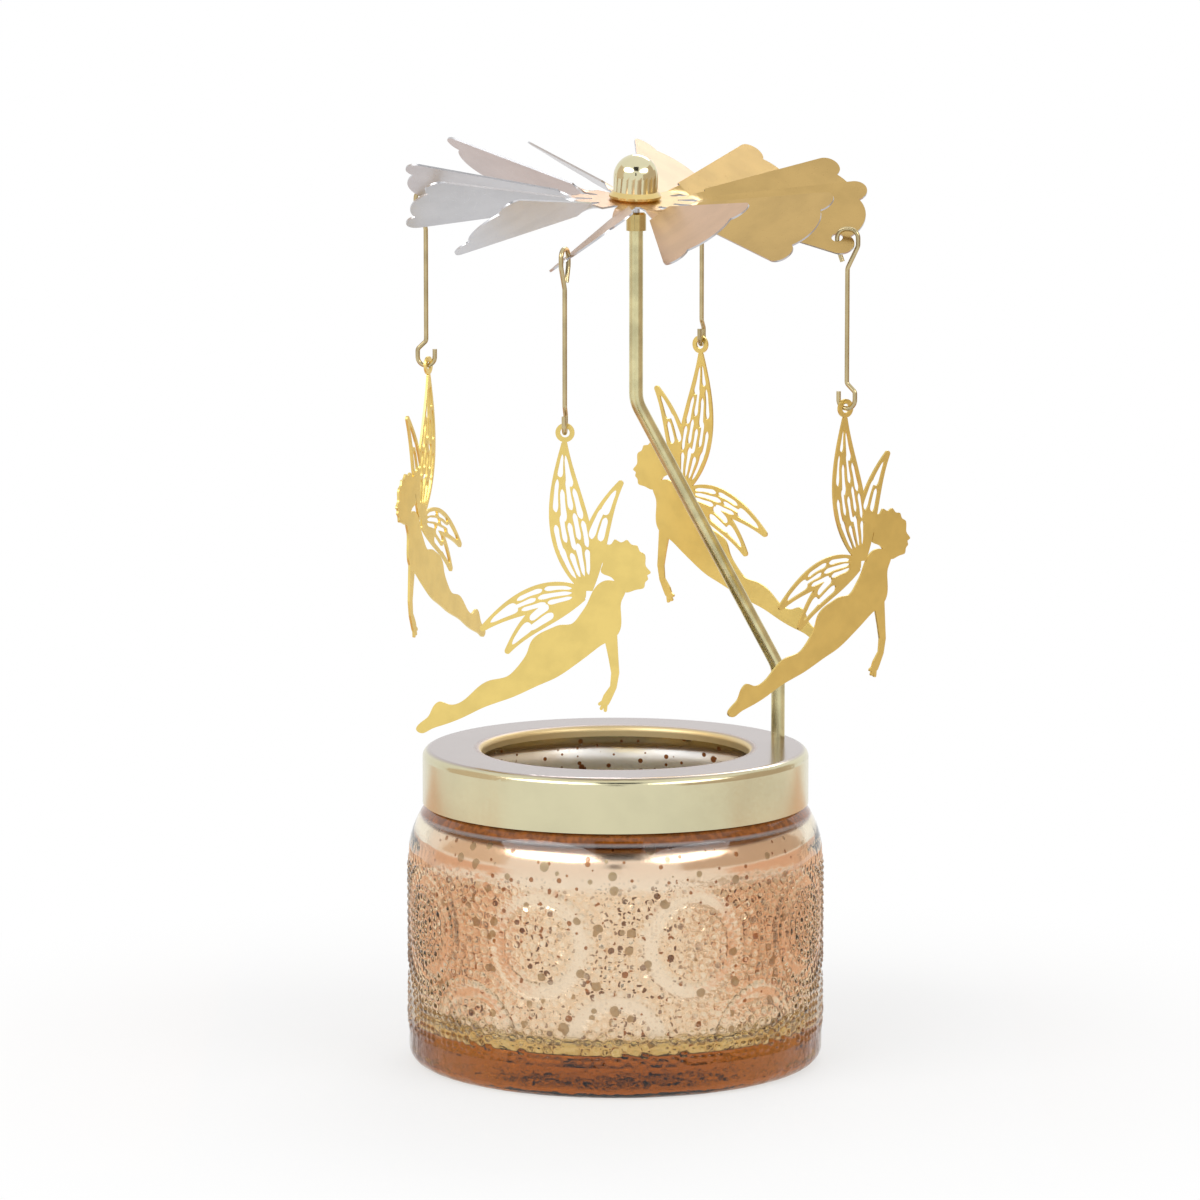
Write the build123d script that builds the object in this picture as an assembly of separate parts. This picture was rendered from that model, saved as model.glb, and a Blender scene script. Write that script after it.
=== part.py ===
from build123d import *
from math import asin, atan2, cos, degrees, hypot, pi, radians, sin
import os

# Rotating candle carousel on a glass jar. Millimetres, +Z up, +Y away from the viewer.
# The origin is the centre of the face that the jar stands on.

# Glass jar. Its neck and its height follow the lid's.
jar_wall = 3.6
jar_base_thickness = 8.0
jar_shoulder_width = 4.9
jar_shoulder_rise = 4.5
jar_shoulder_round = 7.0
jar_foot_round = 3.2
jar_floor_round = 7.0
jar_neck_round = 0.8
jar_rim_round = 1.2
jar_foot_width = 6.0
jar_foot_slope = 3.0
jar_underside_recess = 1.2

# Lid ring and its gasket
lid_top_height = 68.6
lid_diameter = 84.0
lid_height = 11.8
lid_sheet = 0.7
lid_edge_round = 1.8
lid_mouth_diameter = 58.2
lid_lip_depth = 2.4
lid_lip_round = 1.2
lid_shoulder_gap = 0.7
gasket_thickness = 2.0
gasket_rim_inset = 0.1
gasket_sleeve_thickness = 0.7
gasket_sleeve_length = 7.0
gasket_neck_clearance = 0.3
gasket_lid_clearance = 0.1

# Mast, ferrule and needle. The rotor's axis stands a little beside the jar's axis.
rotor_axis_x = 4.4
mast_diameter = 3.0
mast_foot_inset = 3.82
mast_foot_heading = 20.69
mast_lower_run = 15.6
mast_upper_run = 39.6
mast_bend_radius = 7.0
mast_spigot_diameter = 2.0
mast_spigot_clearance = 0.05
mast_rivet_head_diameter = 3.2
mast_rivet_head_thickness = 0.8
rivet_relief_clearance = 0.4
ferrule_diameter = 4.3
ferrule_height = 3.9
ferrule_overhang = 1.2
ferrule_chamfer = 0.4
needle_diameter = 1.6
needle_length = 11.8
needle_point_length = 5.0
needle_point_radius = 0.1

# Hub of the rotor. Heights here run along the hub's own axis, from the needle's point.
pivot_clearance = 0.05
dome_diameter = 9.6
dome_wall = 0.5
dome_top = 1.9
cup_diameter = 6.0
cup_underside = -0.9
cup_cone_radius = 0.95
collar_diameter = 11.3
collar_shoulder = -6.0
collar_spigot_height = 1.0
collar_height = 1.9
collar_edge_height = 0.5
collar_edge_drop = 0.9
rivet_bore_diameter = 4.4
rivet_tube_diameter = 6.4
rivet_flange_diameter = 8.4
rivet_flange_thickness = 0.8
rivet_tube_inset = 1.0
rotor_bore_clearance = 0.05

# Rotor. It rests leaning on the needle's point, low on the side of lean_heading.
rotor_sheet = 0.4
first_blade_heading = -11.6
blade_pitch = 35.0
lean_angle = 6.5
lean_heading = -75.0
# Each blade was bent by hand: how much it lifts above the plate, and its pitch beside blade_pitch
blade_lifts = [-1.4, 0.3, -0.5, -0.6, -1.6, 2.8, 0.0, 0.7, -0.6, -1.6, 2.7, 1.8]
blade_extra_pitches = [0.0, -1.0, -2.0, -6.0, -4.0, 3.0, 0.0, 1.3, 5.0, 3.0, -1.2, -0.4]
hub_plate_radius = 9.2
neck_half_width = 1.9
neck_twist_start = 12.6
blade_root_radius = 16.4
blade_root_half_width = 2.6
tip_lobe_reach = 46.3
tip_lobe_offset = 8.0
tip_lobe_radius = 2.9
middle_lobe_reach = 42.2
middle_lobe_radius = 8.0

# Wire hangers
hanger_wire_diameter = 1.0
hanger_hole_diameter = 2.4
hanger_hole_reach = 45.2
hanger_hole_offset = 6.3
hanger_loop_radius = 2.3
hanger_loop_top = 2.0
hanger_loop_side_drop = 1.6
hanger_loop_length = 6.4
hanger_end_height = 5.0
hanger_end_gap = 0.1
hanger_drop = 36.4
hook_radius = 1.9
hook_neck_height = 5.4
hook_tip_height = 3.6
hook_bend_radius = 1.1
loop_bend_radius = 2.0
# The hook's lower corners are rounded to almost a half circle
hook_share = 0.98

# Winged figures, cut from sheet. Drop runs down from the hanger's wire, span across.
figure_sheet = 0.5
figure_drop = 64.0
figure_span = 49.5
figure_lift = 14.8
figure_eye_diameter = 4.0
figure_hole_diameter = 2.0
figure_hang_clearance = 0.05
wing_border = 0.6
wing_vein = 0.4
wing_tip_radius = 0.65
wing_root_half_width = 0.9
wing_cell_width = 1.15

# Tealight
tealight_diameter = 38.0
tealight_height = 15.5
tealight_sheet = 0.4
tealight_rim_width = 0.5
wax_top_gap = 3.2
wick_diameter = 1.5
wick_standing_height = 7.0
wick_holder_diameter = 12.0
wick_holder_tube_height = 3.5
wick_holder_sheet = 0.4

# Places that several pieces share
lid_underside = lid_top_height - lid_sheet
rim_height = lid_underside - gasket_thickness
gasket_diameter = lid_diameter - 2 * (lid_sheet + gasket_lid_clearance)
jar_neck_diameter = gasket_diameter - 2 * (gasket_sleeve_thickness + gasket_neck_clearance)
gasket_mouth_diameter = jar_neck_diameter - 2 * (jar_wall + gasket_rim_inset)
jar_diameter = jar_neck_diameter + 2 * jar_shoulder_width
jar_shoulder_end = lid_top_height - lid_height + lid_shoulder_gap
jar_shoulder_start = jar_shoulder_end - jar_shoulder_rise
mast_top_height = lid_top_height + figure_lift + figure_drop + hanger_drop
mast_lower_bend_height = lid_top_height + mast_lower_run
mast_upper_bend_height = mast_top_height - mast_upper_run
rotor_axis = Vector(rotor_axis_x, 0, 0)
foot_direction = Vector(cos(radians(mast_foot_heading)), sin(radians(mast_foot_heading)), 0)
mast_foot = foot_direction * (lid_diameter / 2 - mast_foot_inset)
needle_tip_height = mast_top_height + needle_length
needle_tip = Vector(rotor_axis_x, 0, needle_tip_height)
ferrule_top_height = mast_top_height + ferrule_overhang
collar_underside = collar_shoulder - collar_height
rotor_mid_height = collar_underside - rotor_sheet / 2
wire_radius = hanger_wire_diameter / 2

lean_axis = Vector(-sin(radians(lean_heading)), cos(radians(lean_heading)), 0)
leaning_hub = Location(tuple(needle_tip), tuple(lean_axis), lean_angle)

# Each hanger: name, quarter turns from the first blade, the figure's heading, the hook's heading
hangers = [
    ("right", 0, 36.5, -26.0),
    ("back", 1, 145.5, 75.0),
    ("left", 2, 248.5, 170.0),
    ("front", 3, -5.0, 85.0),
]
hanger_hole_place = (hanger_hole_reach - blade_root_radius, -hanger_hole_offset, 0)


def turned_profile(*corners):
    """A solid of revolution about Z from (radius, height, corner rounding) in order."""
    points = [(radius, 0, height) for radius, height, rounding in corners]
    roundings = [rounding for radius, height, rounding in corners]
    outline = FilletPolyline(*points, radius=roundings, close=True)
    return revolve(make_face(outline), Axis.Z)


def rod(path, diameter):
    """A round rod along a path, and its volume beside the section times the length."""
    section = Plane(origin=path @ 0, z_dir=path % 0) * Circle(diameter / 2)
    solid = sweep(section, path=path)
    expected = pi * diameter ** 2 / 4 * path.length
    print("rod volume", round(solid.volume, 2), "section times length", round(expected, 2))
    return solid


def disc(diameter, thickness, underside):
    """A flat disc about Z whose lower face is at the given height."""
    return Pos(0, 0, underside) * extrude(Circle(diameter / 2), thickness)


def heading_vector(heading):
    """Unit vector in the horizontal plane at an angle from +X."""
    return Vector(cos(radians(heading)), sin(radians(heading)), 0)


# Jar and lid

def glass_jar():
    outer = jar_diameter / 2
    inner = outer - jar_wall
    neck = jar_neck_diameter / 2
    neck_inner = neck - jar_wall
    foot = outer - jar_foot_round
    return turned_profile(
        (0, jar_underside_recess, 0),
        (foot - jar_foot_width - jar_foot_slope, jar_underside_recess, jar_neck_round),
        (foot - jar_foot_width, 0, jar_neck_round),
        (outer, 0, jar_foot_round),
        (outer, jar_shoulder_start, jar_shoulder_round),
        (neck, jar_shoulder_end, jar_neck_round),
        (neck, rim_height, jar_rim_round),
        (neck_inner, rim_height, jar_rim_round),
        (neck_inner, jar_shoulder_end - jar_wall / 2, jar_rim_round),
        (inner, jar_shoulder_start - jar_wall / 2, jar_shoulder_round - jar_wall),
        (inner, jar_base_thickness, jar_floor_round),
        (0, jar_base_thickness, 0),
    )


def lid_ring():
    outer = lid_diameter / 2
    mouth = lid_mouth_diameter / 2
    skirt_end = lid_top_height - lid_height
    lip_end = lid_top_height - lid_lip_depth
    ring = turned_profile(
        (mouth, lip_end, 0),
        (mouth, lid_top_height, lid_lip_round),
        (outer, lid_top_height, lid_edge_round),
        (outer, skirt_end, 0),
        (outer - lid_sheet, skirt_end, 0),
        (outer - lid_sheet, lid_underside, lid_edge_round - lid_sheet),
        (mouth + lid_sheet, lid_underside, lid_lip_round - lid_sheet),
        (mouth + lid_sheet, lip_end, 0),
    )
    hole = Pos(mast_foot.X, mast_foot.Y, 0) * disc(
        mast_spigot_diameter + 2 * mast_spigot_clearance, 2 * lid_sheet, lid_underside - lid_sheet / 2)
    return ring - hole


def lid_gasket():
    outer = gasket_diameter / 2
    sleeve = outer - gasket_sleeve_thickness
    mouth = gasket_mouth_diameter / 2
    corner = lid_edge_round - lid_sheet
    ring = turned_profile(
        (mouth, rim_height, 0),
        (mouth, lid_underside, 0),
        (outer, lid_underside, corner),
        (outer, lid_underside - gasket_sleeve_length, 0),
        (sleeve, lid_underside - gasket_sleeve_length, 0),
        (sleeve, rim_height, 0),
    )
    relief_diameter = mast_rivet_head_diameter + 2 * rivet_relief_clearance
    relief = disc(relief_diameter, 2 * gasket_thickness, rim_height - lid_sheet)
    return ring - Pos(mast_foot.X, mast_foot.Y, 0) * relief


# Mast

def mast_rod():
    path = FilletPolyline(
        (mast_foot.X, mast_foot.Y, lid_top_height),
        (mast_foot.X, mast_foot.Y, mast_lower_bend_height),
        (rotor_axis_x, 0, mast_upper_bend_height),
        (rotor_axis_x, 0, mast_top_height),
        radius=mast_bend_radius)
    spigot_end = lid_underside - mast_rivet_head_thickness
    spigot = disc(mast_spigot_diameter, lid_top_height - spigot_end, spigot_end)
    head = disc(mast_rivet_head_diameter, mast_rivet_head_thickness, spigot_end)
    head = fillet(head.edges().group_by(Axis.Z)[0], mast_rivet_head_thickness / 2)
    return rod(path, mast_diameter) + Pos(mast_foot.X, mast_foot.Y, 0) * (spigot + head)


def mast_ferrule():
    underside = ferrule_top_height - ferrule_height
    body = disc(ferrule_diameter, ferrule_height, underside)
    body = chamfer(body.edges().group_by(Axis.Z)[-1], ferrule_chamfer)
    body -= disc(mast_diameter, mast_top_height - underside, underside)
    body -= disc(needle_diameter, ferrule_overhang, mast_top_height)
    return Pos(rotor_axis_x, 0, 0) * body


def pivot_needle():
    radius = needle_diameter / 2
    needle = turned_profile(
        (0, mast_top_height, 0),
        (radius, mast_top_height, 0),
        (radius, needle_tip_height - needle_point_length, 0),
        (needle_point_radius, needle_tip_height, 0),
        (0, needle_tip_height, 0),
    )
    return Pos(rotor_axis_x, 0, 0) * needle


# Hub, in heights from the needle's point, then leaned as the rotor rests

def quarter_arc(radius, centre):
    """From the side to the top of a circle about a point of the Z axis."""
    halfway = radius * sin(radians(45))
    return ThreePointArc((radius, 0, centre), (halfway, 0, centre + halfway), (0, 0, centre + radius))


def dome_cap():
    radius = dome_diameter / 2
    centre = dome_top - radius
    inner = radius - dome_wall
    outline = [
        Line((inner, 0, collar_shoulder), (inner, 0, centre)),
        quarter_arc(inner, centre),
        Line((0, 0, centre + inner), (0, 0, dome_top)),
        quarter_arc(radius, centre),
        Line((radius, 0, centre), (radius, 0, collar_shoulder)),
        Line((radius, 0, collar_shoulder), (inner, 0, collar_shoulder)),
    ]
    return leaning_hub * revolve(make_face(outline), Axis.Z)


def bearing_cup():
    inner = dome_diameter / 2 - dome_wall
    centre = dome_top - dome_diameter / 2
    cup = disc(cup_diameter, dome_top - cup_underside, cup_underside) & Pos(0, 0, centre) * Sphere(inner)
    cone_height = pivot_clearance - cup_underside
    standing = (Align.CENTER, Align.CENTER, Align.MIN)
    cone = Pos(0, 0, cup_underside) * Cone(cup_cone_radius, 0, cone_height, align=standing)
    return leaning_hub * (cup - cone)


def hub_collar():
    bore = rivet_tube_diameter / 2
    edge = collar_diameter / 2
    dome = dome_diameter / 2
    spigot = dome - dome_wall
    profile = turned_profile(
        (bore, collar_underside, 0),
        (edge - collar_edge_height, collar_underside, 0),
        (edge, collar_underside + collar_edge_height, 0),
        (edge, collar_shoulder - collar_edge_drop, 0),
        (dome, collar_shoulder, 0),
        (spigot, collar_shoulder, 0),
        (spigot, collar_shoulder + collar_spigot_height, 0),
        (bore, collar_shoulder + collar_spigot_height, 0),
    )
    return leaning_hub * profile


def hub_rivet():
    bore = rivet_bore_diameter / 2
    tube = rivet_tube_diameter / 2
    flange = rivet_flange_diameter / 2
    seat = collar_underside - rotor_sheet
    top = collar_shoulder + collar_spigot_height - rivet_tube_inset
    profile = turned_profile(
        (bore, seat - rivet_flange_thickness, 0),
        (flange, seat - rivet_flange_thickness, rivet_flange_thickness / 2),
        (flange, seat, 0),
        (tube, seat, 0),
        (tube, top, 0),
        (bore, top, 0),
    )
    return leaning_hub * profile


# Rotor

def tangent_point(point, centre, radius, side):
    """Where a line from a point touches a circle, on one side of it."""
    away = (point[0] - centre[0], point[1] - centre[1])
    distance = hypot(*away)
    angle = atan2(away[1], away[0]) + side * (pi / 2 - asin(radius / distance))
    return (centre[0] + radius * cos(angle), centre[1] + radius * sin(angle))


def blade():
    """One flat blade along +X: straight sides, a three-lobed tip, in the rotor's middle plane."""
    outline = []
    for side in (-1, 1):
        root = (blade_root_radius, side * blade_root_half_width)
        lobe = (tip_lobe_reach, side * tip_lobe_offset)
        corner = [root, tangent_point(root, lobe, tip_lobe_radius, -side), lobe]
        outline += corner[::-side]
    face = make_face(Polyline(*outline, close=True))
    for side in (-1, 1):
        face += Pos(tip_lobe_reach, side * tip_lobe_offset) * Circle(tip_lobe_radius)
    face += Pos(middle_lobe_reach, 0) * Circle(middle_lobe_radius)
    return extrude(face, rotor_sheet / 2, both=True)


def arm_place(index, share):
    """Where an arm's cross section lies, from the start of its twist (0) to the blade's root (1)."""
    reach = neck_twist_start + (blade_root_radius - neck_twist_start) * share
    pitch = (blade_pitch + blade_extra_pitches[index]) * share
    heading = first_blade_heading + 360 / len(blade_lifts) * index
    return Rot(0, 0, heading) * Pos(reach, 0, 0) * Rot(0, -blade_lifts[index] * share, 0) * Rot(pitch, 0, 0)


def neck(index):
    """The flat neck and the twist between the hub plate and a blade."""
    start = hub_plate_radius - neck_half_width
    flat = Pos(start - neck_twist_start, 0, 0) * Box(
        neck_twist_start - start, 2 * neck_half_width, rotor_sheet,
        align=(Align.MIN, Align.CENTER, Align.CENTER))
    section = Plane.YZ * Rectangle(2 * neck_half_width, rotor_sheet)
    steps = 4
    sections = []
    for step in range(steps + 1):
        sections.append(arm_place(index, step / steps) * section)
    return arm_place(index, 0) * flat + loft(sections, ruled=True)


def hung_blade(quarter):
    """Index of the blade that carries a hanger."""
    return quarter * len(blade_lifts) // len(hangers)


def rotor_fan():
    plate = extrude(Circle(hub_plate_radius), rotor_sheet / 2, both=True)
    plain_blade = Pos(-blade_root_radius, 0, 0) * blade()
    hole = extrude(Circle(hanger_hole_diameter / 2), rotor_sheet, both=True)
    for index in range(len(blade_lifts)):
        plate += neck(index) + arm_place(index, 1) * plain_blade
    for quarter in range(len(hangers)):
        plate -= arm_place(hung_blade(quarter), 1) * Pos(*hanger_hole_place) * hole
    bore = rivet_tube_diameter / 2 + rotor_bore_clearance
    plate -= extrude(Circle(bore), rotor_sheet, both=True)
    return leaning_hub * Pos(0, 0, rotor_mid_height) * plate


# Hangers

def hole_centre(quarter):
    """Middle of a hanger's hole, in the sheet's middle plane, with the rotor at rest."""
    place = leaning_hub * Pos(0, 0, rotor_mid_height) * arm_place(hung_blade(quarter), 1)
    return (place * Pos(*hanger_hole_place)).position


def outward(quarter):
    """Horizontal unit vector from the rotor's axis through a hanger's hole."""
    reach = hole_centre(quarter) - rotor_axis
    return Vector(reach.X, reach.Y, 0).normalized()


def hang_point(quarter):
    """Middle of the wire at the bottom of a hanger's hook, which carries the figure."""
    centre = hole_centre(quarter) + outward(quarter) * hanger_loop_radius
    return centre - Vector(0, 0, hanger_drop)


def hanger(quarter, hook_heading):
    """Closed loop through the blade's hole, straight shank, open hook at the bottom."""
    across = outward(quarter)
    along_hook = heading_vector(hook_heading)
    up = Vector(0, 0, 1)
    axis = hole_centre(quarter) + across * hanger_loop_radius
    low = hang_point(quarter)
    end_offset = hanger_wire_diameter + hanger_end_gap
    path = FilletPolyline(
        axis - across * end_offset - up * hanger_end_height,
        axis - across * hanger_loop_radius - up * hanger_loop_side_drop,
        axis - across * hanger_loop_radius + up * hanger_loop_top,
        axis + across * hanger_loop_radius + up * hanger_loop_top,
        axis + across * hanger_loop_radius - up * hanger_loop_side_drop,
        axis - up * hanger_loop_length,
        low + up * hook_neck_height,
        low + along_hook * hook_radius + up * hook_tip_height,
        low + along_hook * hook_radius,
        low - along_hook * hook_radius,
        low - along_hook * hook_radius + up * hook_tip_height,
        radius=[
            loop_bend_radius, loop_bend_radius, loop_bend_radius, loop_bend_radius, loop_bend_radius,
            hook_bend_radius, hook_bend_radius, hook_radius * hook_share, hook_radius * hook_share],
    )
    return rod(path, hanger_wire_diameter)


# Winged figure, drawn in shares of its span and drop, x forwards and y up from the middle of its eye

head_outline_shares = [
    (0.176, -0.468), (0.152, -0.448), (0.159, -0.426), (0.143, -0.404), (0.162, -0.388), (0.164, -0.366),
    (0.193, -0.366), (0.210, -0.350), (0.238, -0.359), (0.262, -0.351), (0.282, -0.366), (0.306, -0.370),
    (0.316, -0.387), (0.335, -0.396), (0.341, -0.420), (0.345, -0.440), (0.362, -0.460), (0.349, -0.467),
    (0.352, -0.479), (0.341, -0.489), (0.336, -0.506), (0.304, -0.514), (0.262, -0.524), (0.220, -0.505),
]
body_outline_shares = [
    (0.204, -0.486), (0.144, -0.496), (0.118, -0.520), (0.095, -0.560), (0.062, -0.600), (0.023, -0.631),
    (-0.020, -0.634), (-0.062, -0.646), (-0.110, -0.664), (-0.148, -0.694), (-0.160, -0.722),
    (-0.184, -0.755), (-0.214, -0.784), (-0.246, -0.806), (-0.321, -0.821), (-0.374, -0.845),
    (-0.450, -0.896), (-0.495, -0.903), (-0.538, -0.894), (-0.562, -0.908), (-0.584, -0.942),
    (-0.622, -0.967), (-0.637, -0.988), (-0.619, -0.999), (-0.576, -0.987), (-0.533, -0.974),
    (-0.436, -0.945), (-0.351, -0.912), (-0.223, -0.875), (-0.105, -0.832), (-0.047, -0.812),
    (0.044, -0.765), (0.108, -0.727), (0.166, -0.694), (0.209, -0.676), (0.232, -0.652), (0.239, -0.618),
    (0.236, -0.581), (0.240, -0.552), (0.256, -0.520),
]
arm_joint_shares = [
    (0.190, -0.650), (0.205, -0.738), (0.213, -0.790), (0.205, -0.838), (0.180, -0.872), (0.172, -0.886)]
arm_width_shares = [0.030, 0.021, 0.017, 0.014, 0.019, 0.018]
finger_root_share = (0.172, -0.884)
finger_tip_shares = [(0.147, -0.894), (0.154, -0.909), (0.171, -0.915)]
finger_width_shares = [0.010, 0.007]

# Each wing: root, bend and tip of its middle line, bulge, and where its columns of cells start
wing_shares = [
    ((0.092, -0.520), (-0.017, -0.278), (-0.003, -0.038), 0.072, (0.09, 0.27, 0.47, 0.70)),
    ((0.099, -0.520), (0.108, -0.310), (0.235, -0.165), 0.037, (0.42, 0.66)),
    ((0.089, -0.528), (-0.147, -0.518), (-0.350, -0.648), 0.042, (0.12, 0.38, 0.64)),
    ((0.081, -0.537), (-0.126, -0.584), (-0.245, -0.722), 0.038, (0.36, 0.62)),
]
wing_middle_share = 2.0
wing_belly_share = 3.4
cell_end_share = 0.93
cell_stagger_share = 0.3
cell_outline_shares = [
    (0, 0), (0.07, 0.75), (0.28, 1), (0.72, 1), (0.93, 0.75), (1, 0),
    (0.93, -0.75), (0.72, -1), (0.28, -1), (0.07, -0.75)]


def sized(share):
    """A point of the figure from its share of the span and of the drop."""
    return Vector(share[0] * figure_span, share[1] * figure_drop)


def limb(start, end, start_radius, end_radius):
    """Two circles and the straight sides that touch both."""
    along = end - start
    heading = atan2(along.Y, along.X)
    spread = pi / 2 + asin((end_radius - start_radius) / along.length)
    corners = []
    ends = [(start, start_radius, 1), (end, end_radius, 1), (end, end_radius, -1), (start, start_radius, -1)]
    for centre, radius, side in ends:
        angle = heading + side * spread
        corners.append(centre + Vector(cos(angle), sin(angle)) * radius)
    face = make_face(Polyline(*corners, close=True))
    face += Pos(start.X, start.Y) * Circle(start_radius)
    return face + Pos(end.X, end.Y) * Circle(end_radius)


def closed_spline(points):
    return make_face(Spline(*points, periodic=True))


def wing_half_width(wing, along):
    """Half the width of a wing at a share of its length from the root."""
    bulge = wing[3] * figure_span
    straight = wing_root_half_width * (1 - along) + wing_tip_radius * along
    return straight + bulge * along * (1 - along) * (wing_middle_share + wing_belly_share * (1 - along))


def wing_point(wing, along, across, inset=0.0):
    """A point of a wing: along runs from root to tip, across from -1 to 1, inset is a length."""
    root, bend, tip = (sized(share) for share in wing[:3])
    middle = root * (1 - along) ** 2 + bend * (2 * along * (1 - along)) + tip * along ** 2
    heading = (bend - root) * (1 - along) + (tip - bend) * along
    normal = Vector(-heading.Y, heading.X).normalized()
    return middle + normal * (across * (wing_half_width(wing, along) - inset))


def wing_outline(wing):
    steps = 6
    left, right = ([wing_point(wing, step / steps, side) for step in range(steps + 1)] for side in (1, -1))
    tip = wing_point(wing, 1, 0)
    face = make_face([Spline(*left), Spline(*right), Line(left[0], right[0]), Line(left[-1], right[-1])])
    return face + Pos(tip.X, tip.Y) * Circle(wing_tip_radius)


def wing_cells(wing):
    """Long cells between the veins: as many rows as fit each column, alternate rows reaching further."""
    starts = wing[4] + (cell_end_share,)
    gap = wing_vein / (sized(wing[2]) - sized(wing[0])).length
    cells = []
    for column in range(len(starts) - 1):
        first, last = starts[column], starts[column + 1]
        width = wing_half_width(wing, (first + last) / 2) - wing_border
        rows = max(1, round(2 * width / (wing_cell_width + wing_vein)))
        half_cell = 1 / rows - wing_vein / 2 / width
        for row in range(rows):
            reach = cell_stagger_share * (last - first) * (row % 2)
            low = first + gap / 2 + (reach if column else 0)
            high = min(last - gap / 2 + reach, cell_end_share)
            middle = (2 * row + 1) / rows - 1
            loop = []
            for share, side in cell_outline_shares:
                across = middle + side * half_cell
                loop.append(wing_point(wing, low + (high - low) * share, across, wing_border))
            cells.append(closed_spline(loop))
    return cells


def winged_figure_blank():
    """The flat figure in its own plane, before it is hung and turned."""
    face = closed_spline([sized(share) for share in body_outline_shares])
    face += closed_spline([sized(share) for share in head_outline_shares])
    joints = [sized(share) for share in arm_joint_shares]
    widths = [share * figure_span for share in arm_width_shares]
    for index in range(len(joints) - 1):
        face += limb(joints[index], joints[index + 1], widths[index], widths[index + 1])
    finger_widths = [share * figure_span for share in finger_width_shares]
    for tip in finger_tip_shares:
        face += limb(sized(finger_root_share), sized(tip), *finger_widths)
    for wing in wing_shares:
        face += wing_outline(wing)
    face += Circle(figure_eye_diameter / 2)
    for wing in wing_shares:
        for cell in wing_cells(wing):
            face -= cell
    face -= Circle(figure_hole_diameter / 2)
    eye_drop = figure_hole_diameter / 2 - wire_radius - figure_hang_clearance
    return Pos(0, 0, -eye_drop) * Plane.XZ * extrude(face, figure_sheet / 2, both=True)


def hung(blank, quarter, heading):
    """A figure hung on its hook and turned to its heading."""
    return Location(tuple(hang_point(quarter)), (0, 0, heading)) * blank


# Tealight

def tealight_cup():
    radius = tealight_diameter / 2
    floor = jar_base_thickness
    top = floor + tealight_height
    inner = radius - tealight_sheet
    return turned_profile(
        (0, floor, 0),
        (radius, floor, tealight_sheet),
        (radius, top - tealight_sheet, 0),
        (radius + tealight_rim_width, top - tealight_sheet, 0),
        (radius + tealight_rim_width, top, 0),
        (inner, top, 0),
        (inner, floor + tealight_sheet, 0),
        (0, floor + tealight_sheet, 0),
    )


def wick_holder():
    base = jar_base_thickness + tealight_sheet
    tube_radius = wick_diameter / 2 + wick_holder_sheet
    plate = disc(wick_holder_diameter, wick_holder_sheet, base)
    tube = disc(2 * tube_radius, wick_holder_tube_height, base)
    return plate + tube - disc(wick_diameter, wick_holder_tube_height, base + wick_holder_sheet)


def tealight_wick():
    base = jar_base_thickness + tealight_sheet + wick_holder_sheet
    wax_top = jar_base_thickness + tealight_height - wax_top_gap
    wick = disc(wick_diameter, wax_top + wick_standing_height - base, base)
    return fillet(wick.edges().group_by(Axis.Z)[-1], wick_diameter / 4)


def tealight_wax():
    base = jar_base_thickness + tealight_sheet
    top = jar_base_thickness + tealight_height - wax_top_gap
    wax = disc(tealight_diameter - 2 * tealight_sheet, top - base, base)
    tube_radius = wick_diameter / 2 + wick_holder_sheet
    wax -= disc(wick_holder_diameter, wick_holder_sheet, base)
    wax -= disc(2 * tube_radius, wick_holder_tube_height, base)
    return wax - disc(wick_diameter, top - base, base)


def pieces():
    """Every node's name and shape."""
    made = {
        "glass_jar": glass_jar(),
        "lid_ring": lid_ring(),
        "lid_gasket": lid_gasket(),
        "mast_rod": mast_rod(),
        "mast_ferrule": mast_ferrule(),
        "pivot_needle": pivot_needle(),
        "bearing_cup": bearing_cup(),
        "dome_cap": dome_cap(),
        "hub_collar": hub_collar(),
        "hub_rivet": hub_rivet(),
        "rotor_fan": rotor_fan(),
        "tealight_cup": tealight_cup(),
        "tealight_wax": tealight_wax(),
        "tealight_wick": tealight_wick(),
        "wick_holder": wick_holder(),
    }
    blank = winged_figure_blank()
    for name, quarter, figure_heading, hook_heading in hangers:
        made["hanger_" + name] = hanger(quarter, hook_heading)
        made["figure_" + name] = hung(blank, quarter, figure_heading)
    return made


if __name__ == "__main__":
    os.makedirs("parts", exist_ok=True)
    for node, shape in pieces().items():
        export_step(shape, "parts/" + node + ".step")
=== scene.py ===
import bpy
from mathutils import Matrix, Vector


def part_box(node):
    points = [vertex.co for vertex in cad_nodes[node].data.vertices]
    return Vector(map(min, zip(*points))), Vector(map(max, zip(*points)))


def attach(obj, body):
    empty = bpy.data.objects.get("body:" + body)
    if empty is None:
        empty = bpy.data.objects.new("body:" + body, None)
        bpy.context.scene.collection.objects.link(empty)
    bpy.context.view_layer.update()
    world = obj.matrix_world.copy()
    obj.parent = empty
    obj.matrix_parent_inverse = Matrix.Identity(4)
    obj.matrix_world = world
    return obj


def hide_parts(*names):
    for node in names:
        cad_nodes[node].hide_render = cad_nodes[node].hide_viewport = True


bl_info = {
    "name": "Candle Carousel",
    "version": (1, 0, 0),
    "blender": (4, 5, 0),
    "location": "View3D > Sidebar > Carousel",
    "description": "Dresses a candle carousel: silvered jar, lid, mast, bladed rotor and winged figures",
    "category": "Add Mesh",
}

from math import atan2, cos, hypot, pi, radians, sin

import bmesh
import bpy
from mathutils import Matrix, Vector

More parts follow.
